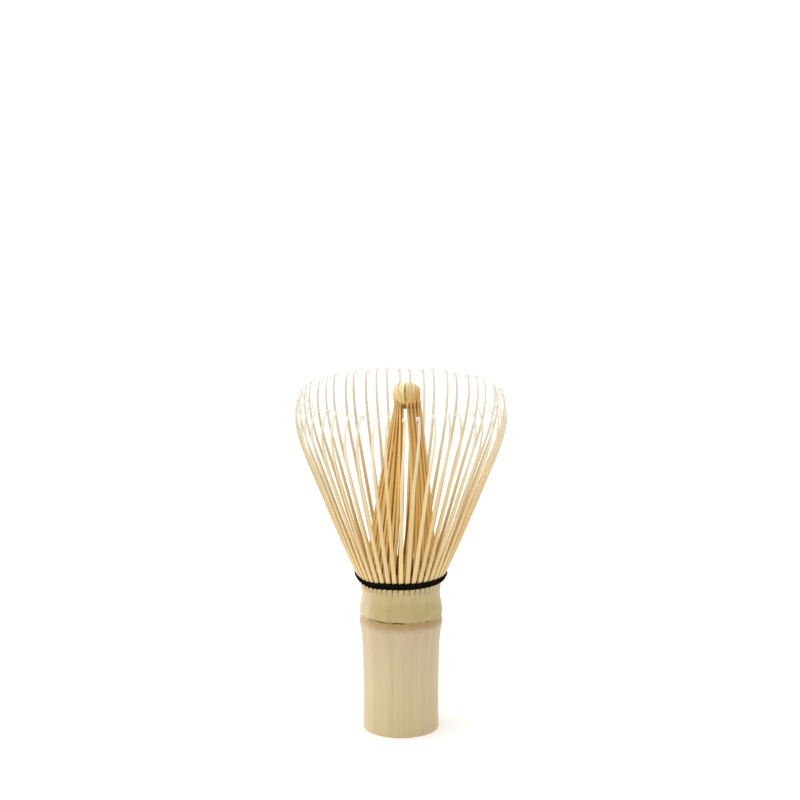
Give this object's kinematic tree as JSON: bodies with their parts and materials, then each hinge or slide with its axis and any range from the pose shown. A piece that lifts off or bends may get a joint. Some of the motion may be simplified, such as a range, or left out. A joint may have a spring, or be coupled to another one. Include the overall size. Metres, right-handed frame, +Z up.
{
  "type": "bamboo tea whisk",
  "caption": "Whisk for powdered tea: a hollow bamboo handle split into a flared ring of outer tines round an inner sheaf that curls into a whorl, held apart by a woven black thread.",
  "frame": {"origin": "centre of the handle's foot, on the axis of its hollow", "axes": "+Z up the handle towards the tines' tips, -Y towards the front"},
  "size_m": [0.0664, 0.0671, 0.1132],
  "materials": {
    "bamboo_skin": "bare dried bamboo skin, fine lengthwise fibres, satin",
    "bamboo_diaphragm": "bare inner bamboo, matt",
    "bamboo_outer_tines": "split bamboo, pale and thin towards the tips, satin",
    "bamboo_inner_tines": "split bamboo, golden, satin",
    "bamboo_curled_tips": "shaved and curled bamboo tips, pale straw, satin",
    "black_thread": "twisted cotton thread, matt"
  },
  "bodies": {
    "root": {"handle": "bamboo_skin", "node_diaphragm": "bamboo_diaphragm", "thread_lower_course": "black_thread", "thread_upper_course": "black_thread", "thread_knot": "black_thread", "inner_tip_whorl": "bamboo_curled_tips", "outer_tines_01": "bamboo_outer_tines", "outer_tines_02": "bamboo_outer_tines", "outer_tines_03": "bamboo_outer_tines", "outer_tines_04": "bamboo_outer_tines", "outer_tines_05": "bamboo_outer_tines", "outer_tines_06": "bamboo_outer_tines", "outer_tines_07": "bamboo_outer_tines", "outer_tines_08": "bamboo_outer_tines", "outer_tines_09": "bamboo_outer_tines", "outer_tines_10": "bamboo_outer_tines", "outer_tines_11": "bamboo_outer_tines", "outer_tines_12": "bamboo_outer_tines", "outer_tines_13": "bamboo_outer_tines", "outer_tines_14": "bamboo_outer_tines", "outer_tines_15": "bamboo_outer_tines", "outer_tines_16": "bamboo_outer_tines", "inner_tines_01": "bamboo_inner_tines", "inner_tines_02": "bamboo_inner_tines", "inner_tines_03": "bamboo_inner_tines", "inner_tines_04": "bamboo_inner_tines", "inner_tines_05": "bamboo_inner_tines", "inner_tines_06": "bamboo_inner_tines", "inner_tines_07": "bamboo_inner_tines", "inner_tines_08": "bamboo_inner_tines", "inner_tines_09": "bamboo_inner_tines", "inner_tines_10": "bamboo_inner_tines", "inner_tines_11": "bamboo_inner_tines", "inner_tines_12": "bamboo_inner_tines", "inner_tines_13": "bamboo_inner_tines", "inner_tines_14": "bamboo_inner_tines", "inner_tines_15": "bamboo_inner_tines", "inner_tines_16": "bamboo_inner_tines"}
  },
  "joints": []
}
